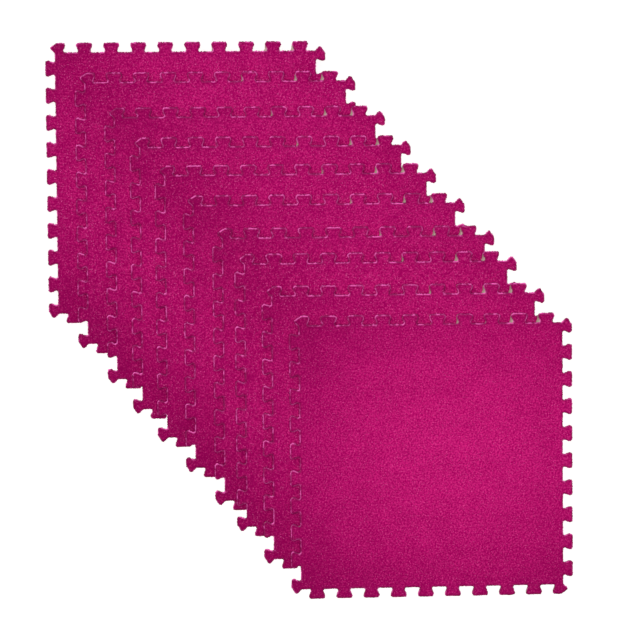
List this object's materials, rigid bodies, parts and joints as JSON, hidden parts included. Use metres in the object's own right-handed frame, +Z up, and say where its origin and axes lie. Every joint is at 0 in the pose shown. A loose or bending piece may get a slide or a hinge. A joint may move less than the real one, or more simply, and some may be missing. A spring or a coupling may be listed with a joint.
{
  "type": "interlocking blocking mats",
  "caption": "Fanned pile of square plush-faced foam blocking mats with dovetail tabs along every edge; each mat slides back over the one beneath it until the pile is square.",
  "frame": {"origin": "centre of the lowest mat's underside, on the floor", "axes": "+Z up, out of the working faces; +X and +Y along the mats' edges; the pile fans out towards +X and -Y"},
  "size_m": [0.5729, 0.6114, 0.1027],
  "materials": {
    "plush": "short cut pile, matte with a soft sheen",
    "foam": "closed-cell foam, matte, warm grey-beige"
  },
  "bodies": {
    "mat_01": {"mat_01_foam_base": "foam", "mat_01_plush_top": "plush"},
    "mat_02": {"mat_02_foam_base": "foam", "mat_02_plush_top": "plush"},
    "mat_03": {"mat_03_foam_base": "foam", "mat_03_plush_top": "plush"},
    "mat_04": {"mat_04_foam_base": "foam", "mat_04_plush_top": "plush"},
    "mat_05": {"mat_05_foam_base": "foam", "mat_05_plush_top": "plush"},
    "mat_06": {"mat_06_foam_base": "foam", "mat_06_plush_top": "plush"},
    "mat_07": {"mat_07_foam_base": "foam", "mat_07_plush_top": "plush"},
    "mat_08": {"mat_08_foam_base": "foam", "mat_08_plush_top": "plush"},
    "mat_09": {"mat_09_foam_base": "foam", "mat_09_plush_top": "plush"},
    "mat_10": {"mat_10_foam_base": "foam", "mat_10_plush_top": "plush"}
  },
  "joints": [
    {"name": "mat_02_slide", "type": "slide", "parent": "mat_01", "child": "mat_02", "axis": [0.6963, -0.7177, 0], "range_m": [-0.04667, 0.008]},
    {"name": "mat_03_slide", "type": "slide", "parent": "mat_02", "child": "mat_03", "axis": [0.6343, -0.7731, 0], "range_m": [-0.05045, 0.008]},
    {"name": "mat_04_slide", "type": "slide", "parent": "mat_03", "child": "mat_04", "axis": [0.6402, -0.7682, 0], "range_m": [-0.04296, 0.008]},
    {"name": "mat_05_slide", "type": "slide", "parent": "mat_04", "child": "mat_05", "axis": [0.6568, -0.7541, 0], "range_m": [-0.04111, 0.008]},
    {"name": "mat_06_slide", "type": "slide", "parent": "mat_05", "child": "mat_06", "axis": [0.6787, -0.7344, 0], "range_m": [-0.04494, 0.008]},
    {"name": "mat_07_slide", "type": "slide", "parent": "mat_06", "child": "mat_07", "axis": [0.6585, -0.7526, 0], "range_m": [-0.04784, 0.008]},
    {"name": "mat_08_slide", "type": "slide", "parent": "mat_07", "child": "mat_08", "axis": [0.6429, -0.766, 0], "range_m": [-0.03655, 0.008]},
    {"name": "mat_09_slide", "type": "slide", "parent": "mat_08", "child": "mat_09", "axis": [0.638, -0.77, 0], "range_m": [-0.04545, 0.008]},
    {"name": "mat_10_slide", "type": "slide", "parent": "mat_09", "child": "mat_10", "axis": [0.6658, -0.7461, 0], "range_m": [-0.04356, 0.008]}
  ]
}
